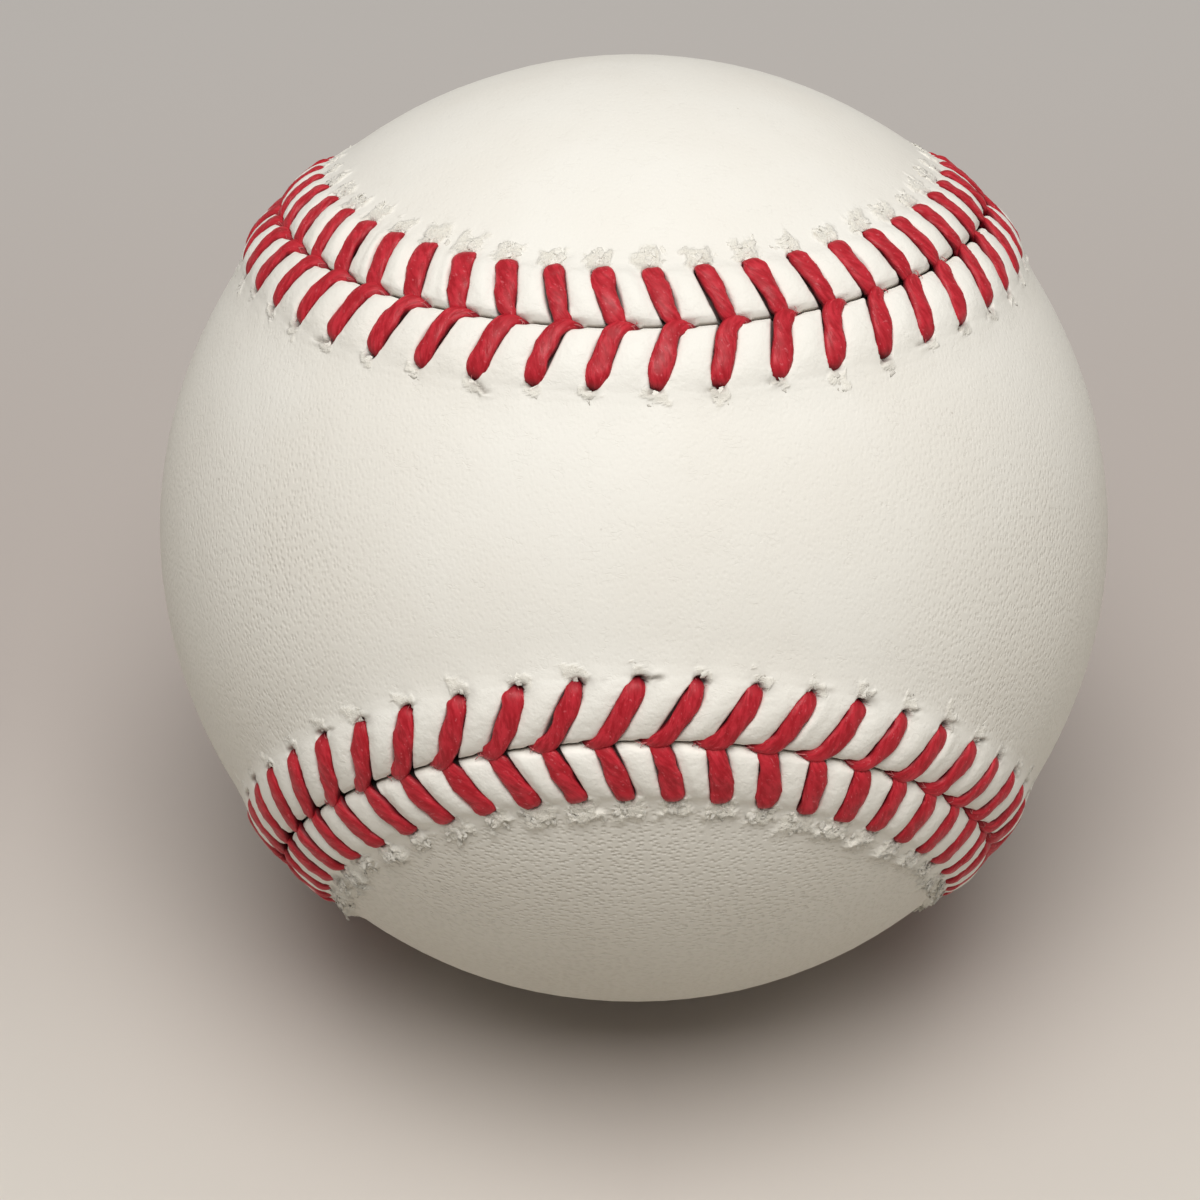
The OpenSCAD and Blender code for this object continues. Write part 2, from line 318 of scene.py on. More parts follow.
# The smooth middle of a panel has fewer points. It goes from a skirt at this distance
# from the seam to a spine, which reaches so many degrees to each side.
FEW = STITCHES * 6
SKIRT = 7.8
SPINE_HALF = FEW // 6
SPINE_REACH = 120
OUTER_SHARES = (0.06, 0.13, 0.21, 0.29, 0.37, 0.46, 0.55, 0.64, 0.73, 0.82, 0.91)
LINING_EDGE = 0.15
LINING_D = (3.0, SKIRT)
LINING_SHARES = (0.25, 0.5, 0.75)

# The dirt mark is mostly painted shade and the smudge mark partly; the seam mark and the grain
# mark also darken the leather partly as painted shade.
LEATHER_MARKS = ("dirt", "dye", "seam", "fray", "grain", "smudge_and_shade", "puff")

# The end of the back panel that has coarse pores and the most wear.
COARSE_END = np.array([0.0, -1.0, 0.0])


def foot(dirs, sgn, far):
    """The stitch number of the seam's point that each direction lies far away from."""
    steps = 20
    q = np.arange(STITCHES * steps) / steps
    out, fore, side = seam_frame(q)
    track = place(out, fore, side * sgn, 0 * q, 0 * q + far)
    return q[(dirs @ track.T).argmax(1)]


def stitch_in(ring, q, first, n):
    """Triangles from a ring of points, at stitch numbers q, to a ring of n even ones."""
    i = np.arange(len(q))
    i2 = (i + 1) % len(q)
    j = np.round(q * n / STITCHES).astype(int) % n
    j2 = j[i2]
    step = (j2 - j) % n
    fans = [np.stack([ring + i, ring + i2, first + j], 1)]
    for s in range(1, int(step[step < n // 2].max()) + 1):
        some = (step >= s) & (step < n // 2)
        a, b = (j + s) % n, (j + s - 1) % n
        fans.append(np.stack([ring + i2, first + a, first + b], 1)[some])
    return fans


def loop(a, b, n):
    """Quads from one ring of n points to the next."""
    i = np.arange(n)
    i2 = (i + 1) % n
    return np.stack([a + i, a + i2, b + i2, b + i], 1)


def band(x, begins, full, ending, ended):
    """From 0 up to 1 and down to 0 again."""
    return smooth(x, begins, full) * (1 - smooth(x, ending, ended))


def coarse_at(p):
    """How coarse the hide is at directions p, if they are on the back panel."""
    return smooth(p @ COARSE_END, 0.2, 0.75)


def worn_at(p, sgn):
    """How worn a panel is: only the back one's coarse end is."""
    return coarse_at(p) if sgn < 0 else 0


def grain_at(p, sgn):
    """How deep the pores are: full on the coarse end, less at the front panel's sides
    and on the back panel's far side, and faint elsewhere."""
    if sgn > 0:
        low = 1 - 0.75 * smooth(p[..., 1], -0.1, 0.35)
        return 0.12 + 0.42 * low * smooth(np.abs(p[..., 0]), 0.3, 0.75)
    return np.maximum(coarse_at(p), 0.06 + 0.4 * smooth(-p[..., 2], 0.2, 0.7))


def hide_at(p, sgn):
    """A panel's own flat map of its directions: along its spine and across it."""
    own = p if sgn > 0 else p @ SWAPPED
    along = np.arctan2(own[..., 0], own[..., 2])
    across = np.arcsin(own[..., 1].clip(-1, 1))
    return np.stack([along, across, 0 * along], -1).reshape(-1, 3) * BALL_R * MM


def swell(p, seed):
    """The hide's own slow and faint unevenness, at directions p."""
    p = p * BALL_R
    return 0.045 * noise(p, 8.0, seed + 4) + 0.018 * noise(p, 1.7, seed + 3)


def tears_of(sgn, rng):
    """How far each awl hole gapes, and the torn leather heaped up beyond it."""
    shape = (STITCHES, 1, 1)
    tears = {key: rng.uniform(*ends, shape) for key, ends in TEARS[sgn].items()}
    tears["start"] = tears["start"] + tears["gape"]
    return tears


def heap(signed, d, tears, ragged=0.0, worn=0.0):
    """Where the leather is torn, and how high it stands there, as a share."""
    t = (d - tears["start"]) / tears["reach"] + ragged
    across = np.abs(signed - tears["middle"]) / tears["width"] / (1 + 0.3 * worn) + ragged
    torn = band(t, *TORN_BAND) * (1 - smooth(across, 0.62, 0.95))
    return torn, torn * (0.2 + 0.8 * smooth(t, 0.0, 0.9))


def stitch_grid(sgn):
    """The worked leather of a panel, in rows along the seam: each point's direction,
    its distance from the seam and from the middle of the nearest thread, the distance
    half way to the next thread, how far ahead of its stitch it is, and the slant."""
    q = np.arange(STITCHES) + FIRST
    lean = lean_at(q, sgn)
    slant = np.arctan2(lean, HOLE_SET * REACH)[:, None, None]
    out, fore, side = (v[:, None, None, :] for v in seam_frame(q))
    d = np.broadcast_to(ROWS[None, :, None], (STITCHES, len(ROWS), len(STITCH_COLS)))
    across = STITCH_COLS * (1 - DRAWN * smooth(d, *DRAWN_SPAN))
    back = lean[:, None, None] * np.minimum(d, LEAN_END) / HOLE_SET
    f = across / np.cos(slant) - back
    near = place(out, fore, side * sgn, f, d * REACH)
    after = np.roll(near, -1, axis=0)
    mids = [unit(near[:, :, -1] * (1 - s) + after[:, :, 0] * s) for s in MID_SHARES]
    dirs = np.concatenate([near, np.stack(mids, 2)], axis=2)
    span = np.arccos(np.clip((near[:, :, -1] * after[:, :, 0]).sum(-1), -1, 1)) * BALL_R
    span = (span * np.cos(slant[:, :, 0]))[:, :, None]
    last = across[:, :, -1:]
    signed = np.concatenate([across, last + span * MID_SHARES], axis=2)
    half_way = last + span / 2
    signed = np.where(signed > half_way, signed - 2 * half_way, signed)
    ahead = np.concatenate([f, f[:, :, -1:] + span * MID_SHARES / np.cos(slant)], axis=2)
    d = np.broadcast_to(ROWS[None, :, None], dirs.shape[:3])
    return dirs, d, signed, half_way, ahead, slant


def worked_leather(sgn, seed, rng):
    """A panel's leather by the seam: its directions, heights and marks, and its tears."""

    def each(spread, middle=0.0):
        return middle + spread * rng.standard_normal((STITCHES, 1, 1))

    dirs, d, signed, half_way, ahead, slant = stitch_grid(sgn)
    tears = tears_of(sgn, rng)
    worn = worn_at(dirs, sgn)
    p = dirs * BALL_R
    level = d - signed * np.sin(slant) / REACH * smooth(d, 2.6, 3.6)
    inward = level - tears["gape"] * smooth(level, 3.7, 4.1)
    half = np.interp(inward, HALF_D, HALF[sgn])
    off = np.abs(signed)
    edge = off - half

    # The puff, and the bed that the thread presses into it.
    dome = np.clip((half_way - off) / np.maximum(half_way - half, 0.1), 0, 1)
    puff = np.interp(d, PUFF_D, PUFF)
    pillow = 0.5 + 0.5 * worn if sgn < 0 else 0
    puff = puff + pillow * (np.interp(d, PUFF_D, PILLOW) - puff)
    full = (1 - 0.3 * dome**2.2) * each(0.07, 1)
    puff = np.where(puff > 0, puff * full, puff)
    bed = np.interp(inward, *BED)
    h = bed + (puff - bed) * smooth(edge, *FLANK)

    # The tail of a front leg lies in the seam, forward of its stitch.
    in_seam = (1 - smooth(d, 0.12, 0.42)) * smooth(h, -0.3, 0.0)
    h = h - 0.42 * band(ahead, *TAIL_BAND) * in_seam

    # Wrinkles where the leather is drawn in beside a thread and at its lip.
    crease = noise(p, 0.5, seed + 1) + 0.6 * noise(p, 0.26, seed + 2)
    deep = 0.008 + 0.035 * band(edge, *SQUEEZE_BAND) + 0.03 * band(d, *LIP_BAND)
    h = h + (1 - smooth(d, *PLAIN_STARTS)) * deep * crease
    h = h + swell(dirs, seed) * smooth(d, 0.4, 1.2)

    # Torn leather beyond each awl hole, heaped up by the awl and ragged all round.
    ragged = 0.32 * noise(p, 0.55, seed + 7) + 0.2 * noise(p, 0.3, seed + 8)
    fray, rise = heap(signed, level, tears, ragged, worn)
    ridges = 1 - 2 * np.abs(noise(p, 0.5, seed + 5)) + 0.8 * noise(p, 0.27, seed + 6)
    ridges = ridges * RIDGES[sgn]
    h = h + rise * tears["height"] * (1 + 3 * worn) + fray * ridges

    # A crack runs from some holes, and its lip curls up.
    flip = rng.choice([-1, 1], (STITCHES, 1, 1), p=[0.85, 0.15])
    open_by = rng.uniform(-0.1, 1, (STITCHES, 1, 1)).clip(0) * CRACKS_OPEN[sgn]
    along = signed * flip
    run = rng.uniform(0.5, 1.7, (STITCHES, 1, 1))
    wander = 0.12 * noise(p, 0.7, seed + 9)
    beyond = inward - CRACK_D - 0.5 * along - each(0.07) * along**2 - wander
    length = smooth(along, -0.35, -0.05) * (1 - smooth(along / run, 0.6, 1.1)) * open_by
    crack = np.exp(-((beyond / CRACK_WIDE) ** 2)) * length
    curled = np.exp(-(((beyond - LIP_OFF) / LIP_WIDE) ** 2)) * length
    h = h - CRACK_DEEP * crack + LIP_HIGH * curled

    # A smudge and painted shade beyond each hole and in its crack; painted shade with
    # some dirt in the hole and along the thread's edges; dye by the thread.
    wide, tall = SMUDGE_SHADE_SIZE
    # The halo round each hole's end is painted shade, partly a smudge.
    spread = ((signed - 0.3 * flip) / wide) ** 2 + ((inward - SMUDGE_SHADE_D) / tall) ** 2
    halo = np.exp(-spread) * rng.uniform(0.1, 0.75, (STITCHES, 1, 1)) * (0.6 + ragged)
    if sgn < 0:
        halo = halo * (0.5 + 0.4 * worn)
    # The hole's mouth is painted dark, as the shade in it.
    wide, tall = MOUTH_SIZE
    pit = np.exp(-(((signed / wide) ** 2 + ((inward - MOUTH_D) / tall) ** 2) ** 1.2))
    # Painted shade: a thin dark line on the leather along both edges of each thread.
    low = smooth(-edge, -0.07, 0.13) * (1 - smooth(d, 3.9, 4.4))
    beside = (1 - smooth(edge, 0.0, 0.2)) * (1 - smooth(d, 3.6, 4.0))
    marks = {
        "dirt": np.maximum(low, pit),
        # Painted shade in the crack, and painted shade with some smudge round the hole.
        "smudge_and_shade": np.maximum(crack, halo).clip(0, 1),
        "dye": beside * (1 - low),
        "puff": band(d, *PUFF_BAND),
        "seam": 1 - smooth(d, 0.05, 0.13),
        "fray": fray * TORN_SHOWS[sgn],
        "grain": grain_at(dirs, sgn) * smooth(d, *PLAIN_STARTS),
    }
    return dirs, h, marks, tears


class Middle:
    """The smooth middle of a panel: rings of FEW points, from the seam to a spine."""

    def __init__(self, sgn):
        self.sgn = sgn
        even = np.arange(FEW) * STITCHES / FEW
        self.frame = seam_frame(even)
        own = even if sgn > 0 else even - QUARTER
        fold = (own + STITCHES / 2) % STITCHES - STITCHES / 2
        far = np.abs(fold) > STITCHES / 4
        fold = np.where(far, np.sign(fold) * (STITCHES / 2 - np.abs(fold)), fold)
        stop = np.clip(np.round(fold * FEW / STITCHES), -SPINE_HALF, SPINE_HALF)
        self.stop = stop.astype(int) + SPINE_HALF
        steps = np.arange(-SPINE_HALF, SPINE_HALF + 1)
        angle = np.radians(SPINE_REACH * steps / SPINE_HALF)
        spine = np.stack([np.sin(angle), 0 * angle, np.cos(angle)], 1)
        self.spine = spine if sgn > 0 else spine @ SWAPPED.T

    def ring(self, distance):
        """The ring that lies at a distance from the seam."""
        out, fore, side = self.frame
        straight = np.zeros(FEW)
        return place(out, fore, side * self.sgn, straight, straight + distance)

    def between(self, share):
        """The ring that lies a share of the way from the skirt to the spine."""
        a, b = self.ring(SKIRT), self.spine[self.stop]
        w = np.arccos(np.clip((a * b).sum(1), -1, 1))[:, None]
        return (a * np.sin((1 - share) * w) + b * np.sin(share * w)) / np.sin(w)

    def close(self, ring, first):
        """Triangles from the last ring to the spine, whose points start at first."""
        stop = self.stop
        i = np.arange(FEW)
        i2 = (i + 1) % FEW
        moved = stop[i] != stop[i2]
        a = np.stack([ring + i, ring + i2, first + stop[i2]], 1)
        b = np.stack([ring + i, first + stop[i2], first + stop[i]], 1)[moved]
        return [a, b]


def outer_face(body, middle, edge, seed):
    """The outer face, from the last worked row, with directions edge, to the spine."""
    sgn = middle.sgn

    def add(p):
        points = p * (BALL_R + swell(p, seed))[:, None]
        return body.add(points, grain=grain_at(p, sgn), hide=hide_at(p, sgn))

    row = (len(ROWS) - 1) * STITCHES * PER_STITCH
    ring = add(middle.ring(SKIRT))
    body.tris += stitch_in(row, foot(edge, sgn, ROWS[-1] * REACH), ring, FEW)
    for share in OUTER_SHARES:
        new = add(middle.between(share))
        body.quads.append(loop(ring, new, FEW))
        ring = new
    body.tris += middle.close(ring, add(middle.spine))


def lining(body, middle, edge):
    """The lining, and the cut edge between it and the first worked row."""
    # The lining's ring at the cut edge is painted darkest, as the shade in the seam's gap.
    ring = body.add(middle.ring(LINING_EDGE) * LINING_R, dirt=1.0, seam=1.0)
    tris = stitch_in(0, foot(edge, middle.sgn, ROWS[0] * REACH), ring, FEW)
    quads = []
    rings = [middle.ring(distance) for distance in LINING_D]
    rings += [middle.between(share) for share in LINING_SHARES]
    for dirs in rings:
        new = body.add(dirs * LINING_R)
        quads.append(loop(ring, new, FEW))
        ring = new
    tris += middle.close(ring, body.add(middle.spine * LINING_R))
    body.quads += [quad[:, ::-1] for quad in quads]
    body.tris += [tri[:, ::-1] for tri in tris]


def leather_panel(name, sgn, seed):
    """One leather panel: sgn is 1 for the front one and -1 for the back one."""
    dirs, h, marks, tears = worked_leather(sgn, seed, np.random.default_rng(seed))
    body = Body(*LEATHER_MARKS, vectors=("hide",))
    body.add(
        ((BALL_R + h)[..., None] * dirs).transpose(1, 0, 2, 3),
        hide=hide_at(dirs.transpose(1, 0, 2, 3), sgn),
        **{key: value.transpose(1, 0, 2).ravel() for key, value in marks.items()},
    )
    cols = STITCHES * PER_STITCH
    for row in range(len(ROWS) - 1):
        body.quads.append(loop(row * cols, (row + 1) * cols, cols))
    middle = Middle(sgn)
    outer_face(body, middle, dirs[:, -1].reshape(-1, 3), seed)
    lining(body, middle, dirs[:, 0].reshape(-1, 3))
    if sgn > 0:
        body.quads = [quad[:, ::-1] for quad in body.quads]
        body.tris = [tri[:, ::-1] for tri in body.tris]
    return body.build(name), tears


# Torn shreds of leather that stand up beyond the awl holes, as thin sheets. What
# differs between the panels: how many there are at a hole, half their thickness, how
# far they lift and curl, and how soiled they are.
SHREDS = {1: 4, -1: 11}
SHRED_HALF = {1: 0.022, -1: 0.035}
SHRED_LIFT = {1: 0.05, -1: 0.1}
SHRED_CURL = {1: 0.5, -1: 1}
SHRED_SOIL = {1: 1, -1: 0.4}
SHRED_LONG = (0.16, 0.45)
SHRED_WIDE = (0.1, 0.3)
SHRED_GRID = (5, 4)


def slab(over, under, rows, cols):
    """Quads of a thin sheet, from the first of its upper and of its lower points."""
    n = np.arange(rows * cols).reshape(rows, cols)
    a, b = n[:-1, :-1].ravel(), n[1:, :-1].ravel()
    c, e = n[1:, 1:].ravel(), n[:-1, 1:].ravel()
    face = np.stack([a, b, c, e], 1)
    rim = np.r_[n[:, 0], n[-1, 1:], n[-2::-1, -1], n[0, -2:0:-1]]
    rim2 = np.roll(rim, -1)
    wall = np.stack([over + rim, under + rim, under + rim2, over + rim2], 1)
    return [over + face, under + face[:, ::-1], wall]


def leather_shreds(name, sgn, seed, tears):
    """The shreds of one panel, beyond its tears."""
    rng = np.random.default_rng(seed)
    q = np.arange(STITCHES) + FIRST
    lean = lean_at(q, sgn)
    out, fore, side = seam_frame(q)
    side = side * sgn
    body = Body(*LEATHER_MARKS)
    u, v = np.meshgrid(*(np.linspace(-1, 1, n) for n in SHRED_GRID), indexing="ij")
    for k in range(STITCHES):
        tear = {key: value[k, 0, 0] for key, value in tears.items()}
        worn = worn_at(out[k], sgn)
        for _ in range(SHREDS[sgn]):
            f = tear["middle"] + 0.5 * tear["width"] * rng.normal()
            d = tear["start"] + 0.2 + tear["reach"] * rng.beta(1.4, 1.6)
            heading = rng.uniform(-math.pi, math.pi)
            heading += worn * (math.pi / 2 - 0.75 * heading)
            length = rng.uniform(*SHRED_LONG)
            width = rng.uniform(*SHRED_WIDE)
            lift = rng.uniform(-0.02, SHRED_LIFT[sgn])
            lift += worn * rng.uniform(0.02, 0.26)
            curl = rng.uniform(-0.2, 0.2) * SHRED_CURL[sgn]
            soiled = rng.uniform(-0.2, 0.45) * SHRED_SOIL[sgn]
            ragged = 1 + 0.35 * rng.standard_normal((SHRED_GRID[0], 1))
            along = length * (u + 0.15 * rng.standard_normal(u.shape))
            wide = width * v * (1 - 0.55 * u**2) * ragged
            x = along * math.cos(heading) - wide * math.sin(heading)
            y = along * math.sin(heading) + wide * math.cos(heading)

            # Its height over the leather's own, which lies as in worked_leather.
            rise = tear["height"] * (1 + 3 * worn) * heap(f, d, tear, 0.0, worn)[1]
            bed = np.interp(d, *BED)
            beside = smooth(abs(f) - np.interp(d, HALF_D, HALF[sgn]), *FLANK)
            base = bed + (np.interp(d, PUFF_D, PILLOW) - bed) * beside + rise
            h = base + lift * ((u + 1) / 2) ** 1.4 + curl * wide * v - 0.02
            h = h + 0.02 * rng.standard_normal(h.shape)
            dirs = place(out[k], fore[k], side[k], f - lean[k] + x, d * REACH + y)
            top = dirs * (BALL_R + h + SHRED_HALF[sgn])[..., None]
            bottom = dirs * (BALL_R + h - SHRED_HALF[sgn])[..., None]
            over = body.add(top, fray=0.5, smudge_and_shade=max(soiled, 0))
            # The shred's underside is painted a little darker, as shade.
            under = body.add(bottom, fray=1.0, dirt=0.08)
            quads = slab(over, under, *SHRED_GRID)
            body.quads += [quad[:, ::-1] for quad in quads] if sgn > 0 else quads
    return body.build(name)


# Thread. A leg's middle line from inside its awl hole to the seam: share of the
# lean, forward, distance from the seam, height, width and thickness.
HOLE_END = [
    [1.03, 0, 4.08, -0.9, 0.62, 0.45],
    [1.0, 0, 3.98, -0.42, 0.98, 0.6],
    [0.97, 0, 3.84, 0.0, 1.24, 0.7],
    [0.92, 0, 3.54, 0.25, 1.42, 0.78],
    [0.8, 0, 3.0, 0.42, 1.5, 0.8],
    [0.62, 0, 2.35, 0.51, 1.54, 0.8],
    [0.45, 0, 1.7, 0.53, 1.5, 0.8],
    [0.28, 0, 1.1, 0.5, 1.42, 0.78],
]
BLUNT_END = [
    [1.03, 0, 4.12, -0.8, 0.84, 0.45],
    [1.0, 0, 4.06, -0.22, 1.04, 0.6],
    [0.97, 0, 3.9, 0.2, 1.34, 0.72],
    [0.92, 0, 3.56, 0.37, 1.56, 0.8],
]
FRONT_LEG = HOLE_END + [
    [0.12, 0.02, 0.64, 0.48, 1.32, 0.74],
    [0.0, 0.24, 0.3, 0.42, 1.2, 0.68],
    [0.0, 0.62, 0.12, 0.3, 0.95, 0.6],
    [0.0, 1.0, 0.04, 0.08, 0.62, 0.5],
    [0.0, 1.34, 0.0, -0.2, 0.36, 0.36],
    [0.0, 1.6, 0.0, -0.5, 0.2, 0.2],
]
BACK_LEG = BLUNT_END + HOLE_END[4:] + [
    [0.12, 0.02, 0.62, 0.44, 1.3, 0.72],
    [0.0, 0.12, 0.25, 0.27, 1.16, 0.62],
    [0.0, 0.2, -0.05, 0.06, 1.0, 0.52],
    [0.0, 0.26, -0.3, -0.2, 0.75, 0.4],
    [0.0, 0.3, -0.5, -0.5, 0.5, 0.3],
]
RINGS = 40
SIDES = 20

# How much the legs differ, as they do by hand: sideways, in height and in size.
BOW_BY = 0.07
LIFT_BY = 0.03
SIZE_BY = 0.05

# The thread's two plies change places over this length. Then how many loose fibres
# there are at an end of a leg, and the sides of a fibre.
TWIST = 3.0
WISPS = 3
WISP_SIDES = 4


def spline(control, count):
    """Catmull-Rom curves through control points, along the axis before the last."""
    n = control.shape[-2]
    s = np.linspace(0, n - 1, count)
    i = np.minimum(s.astype(int), n - 2)
    t = (s - i)[:, None]

    def at(j):
        return control[..., np.clip(j, 0, n - 1), :]

    a, b, c, e = at(i - 1), at(i), at(i + 1), at(i + 2)
    return 0.5 * (
        2 * b + (c - a) * t + (2 * a - 5 * b + 4 * c - e) * t**2
        + (3 * b - a - 3 * c + e) * t**3
    )


def legs(body, stations, sgn, control, rng, seed):
    """The legs of one thread on one panel's side of the seam."""
    count = len(stations)
    q = stations + FIRST
    lean = lean_at(q, sgn)
    out, fore, side = (v[:, None, :] for v in seam_frame(q))
    side = side * sgn
    control = np.broadcast_to(np.array(control, float), (count, len(control), 6)).copy()
    bow = BOW_BY * rng.standard_normal((count, 1))
    lift = LIFT_BY * rng.standard_normal((count, 1))
    size = 1 + SIZE_BY * rng.standard_normal((count, 1))
    middle = np.sin(np.pi * np.clip(control[..., 2] / HOLE_SET, 0, 1))
    control[..., 1] += -lean[:, None] * control[..., 0] + bow * middle
    control[..., 3] += lift * middle
    control[..., 4] *= size * (1 + SIZE_BY * rng.standard_normal(control.shape[:2]))
    tail = control[..., 2] < 0.2
    control[..., 1] *= np.where(tail, 1 + 0.1 * rng.standard_normal((count, 1)), 1)
    curve = spline(control, RINGS)
    f, d, h, w, t = (curve[..., i] for i in range(1, 6))
    dirs = place(out, fore, side, f, d * REACH)
    line = dirs * (BALL_R + h)[..., None]
    way = np.gradient(line, axis=1)
    level = unit(way - dirs * (way * dirs).sum(-1, keepdims=True))
    across = unit(np.cross(dirs, level))
    up = unit(np.cross(way, across))
    steps = np.linalg.norm(np.diff(line, axis=1), axis=-1)
    run = np.concatenate([np.zeros((count, 1)), np.cumsum(steps, axis=1)], axis=1)

    # The section is a little squarer than an ellipse.
    a = 2 * np.pi * np.arange(SIDES) / SIDES - np.pi / 2
    x = np.sign(np.cos(a)) * np.abs(np.cos(a)) ** 0.8
    y = np.sign(np.sin(a)) * np.abs(np.sin(a)) ** 0.75
    wide = (w / 2)[..., None] * x
    high = (t / 2)[..., None] * y
    phase = rng.random((count, 1, 1)) * 50
    around = np.broadcast_to(a * 0.6, wide.shape)
    u = np.broadcast_to(run[..., None], wide.shape) + phase
    twisted = around + 0.3 * u
    fibre = np.stack([u * 0.5, twisted * 3, 0 * u + phase], -1)
    rough = 0.03 * noise(fibre, 0.5, seed) + 0.02 * noise(fibre, 0.24, seed + 1)
    ply = 0.03 * np.sin(2 * a + 2 * np.pi * u / TWIST)
    grow = 1 + (rough + ply) / np.maximum(t / 2, 0.15)[..., None]
    points = line[:, :, None, :] + across[:, :, None, :] * (wide * grow)[..., None]
    points = points + up[:, :, None, :] * (high * grow)[..., None]
    # Painted shade: the thread is darker on the underside of its section and where it sinks
    # low into the holes and the seam.
    low = smooth(-h, -0.25, 0.25)[..., None] * np.ones(SIDES)
    under = smooth(-y, -0.65, 0.1) * np.ones(wide.shape)
    first = body.add(
        points,
        fibre=np.stack([u, twisted, 0 * u + phase], -1).reshape(-1, 3),
        low=low.ravel(),
        under=under.ravel(),
    )
    n = np.arange(SIDES)
    n2 = (n + 1) % SIDES
    ring = np.arange(RINGS - 1)[:, None] * SIDES
    one = np.stack([ring + n, ring + n2, ring + SIDES + n2, ring + SIDES + n], -1)
    base = first + np.arange(count)[:, None, None] * RINGS * SIDES
    body.quads.append((base + one.reshape(1, -1, 4)).reshape(-1, 4))
    for end, order in ((0, n[::-1]), (RINGS - 1, n)):
        # The end caps are painted darkest, as shade.
        tip = body.add(line[:, end], low=1.0)
        start = first + np.arange(count)[:, None] * RINGS * SIDES + end * SIDES
        a1, a2 = start + order, start + np.roll(order, -1)
        top = np.broadcast_to(tip + np.arange(count)[:, None], a1.shape)
        body.tris.append(np.stack([a1, a2, top], -1).reshape(-1, 3))


def wisps(body, sgn, stations, rng):
    """Loose fibres at the ends of legs. A spot is its place along and across the seam,
    the fibre's heading and whether it comes out of an awl hole."""
    q = stations + FIRST
    lean = lean_at(q, sgn)
    out, fore, side = seam_frame(q)
    side = side * sgn
    t = np.linspace(0, 1, 6)
    a = 2 * np.pi * np.arange(WISP_SIDES) / WISP_SIDES
    for i in range(len(stations)):
        spots = [(-lean[i], 3.75, rng.normal(0, 0.6), True) for _ in range(WISPS)]
        if sgn > 0:
            spots += [(1.0, 0.06, rng.normal(0, 0.35), False) for _ in range(WISPS)]
        for f, d, heading, hole in spots:
            length = rng.uniform(0.35, 0.8)
            thick = rng.uniform(0.03, 0.05)
            toward = math.pi / 2 + heading if hole else heading
            f = f + rng.normal(0, 0.3 if hole else 0.12)
            bend = rng.normal(0, 0.8)
            x = f + length * t * np.cos(toward + bend * t)
            y = d * REACH + length * t * np.sin(toward + bend * t)
            rise = 0.12 if hole else 0.34
            h = rise + rng.uniform(0.0, 0.16) * np.sin(np.pi * t) - 0.2 * t**2
            dirs = place(out[i], fore[i], side[i], x, y)
            line = dirs * (BALL_R + h)[:, None]
            way = unit(np.gradient(line, axis=0))
            across = unit(np.cross(dirs, way))
            up = np.cross(way, across)
            r = thick * (1 - 0.75 * t)[:, None, None]
            ring = across[:, None] * np.cos(a)[:, None] + up[:, None] * np.sin(a)[:, None]
            first = body.add(line[:, None] + ring * r, wisp=1.0)
            for j in range(len(t) - 1):
                start = first + WISP_SIDES * j
                body.quads.append(loop(start, start + WISP_SIDES, WISP_SIDES))


def waxed_thread(name, parity, seed):
    """One thread. It takes every other stitch of each panel, as the parity says."""
    rng = np.random.default_rng(seed)
    body = Body("low", "under", "wisp", vectors=("fibre",))
    for sgn, control, start in ((1, FRONT_LEG, parity), (-1, BACK_LEG, 1 - parity)):
        stations = np.arange(start, STITCHES, 2)
        legs(body, stations, sgn, control, rng, seed)
        wisps(body, sgn, stations, rng)
    return body.build(name)


# Materials.


def rgb(red, green, blue):
    """A colour as it looks on a screen, as the shader's own numbers."""
    scaled = [c / 255 for c in (red, green, blue)]
    return [c / 12.92 if c <= 0.04045 else ((c + 0.055) / 1.055) ** 2.4 for c in scaled] + [1]


# The numbers of a colour mix's sockets.
MIX_SHARE = 0
MIX_A = 6
MIX_B = 7
MIX_RESULT = 2


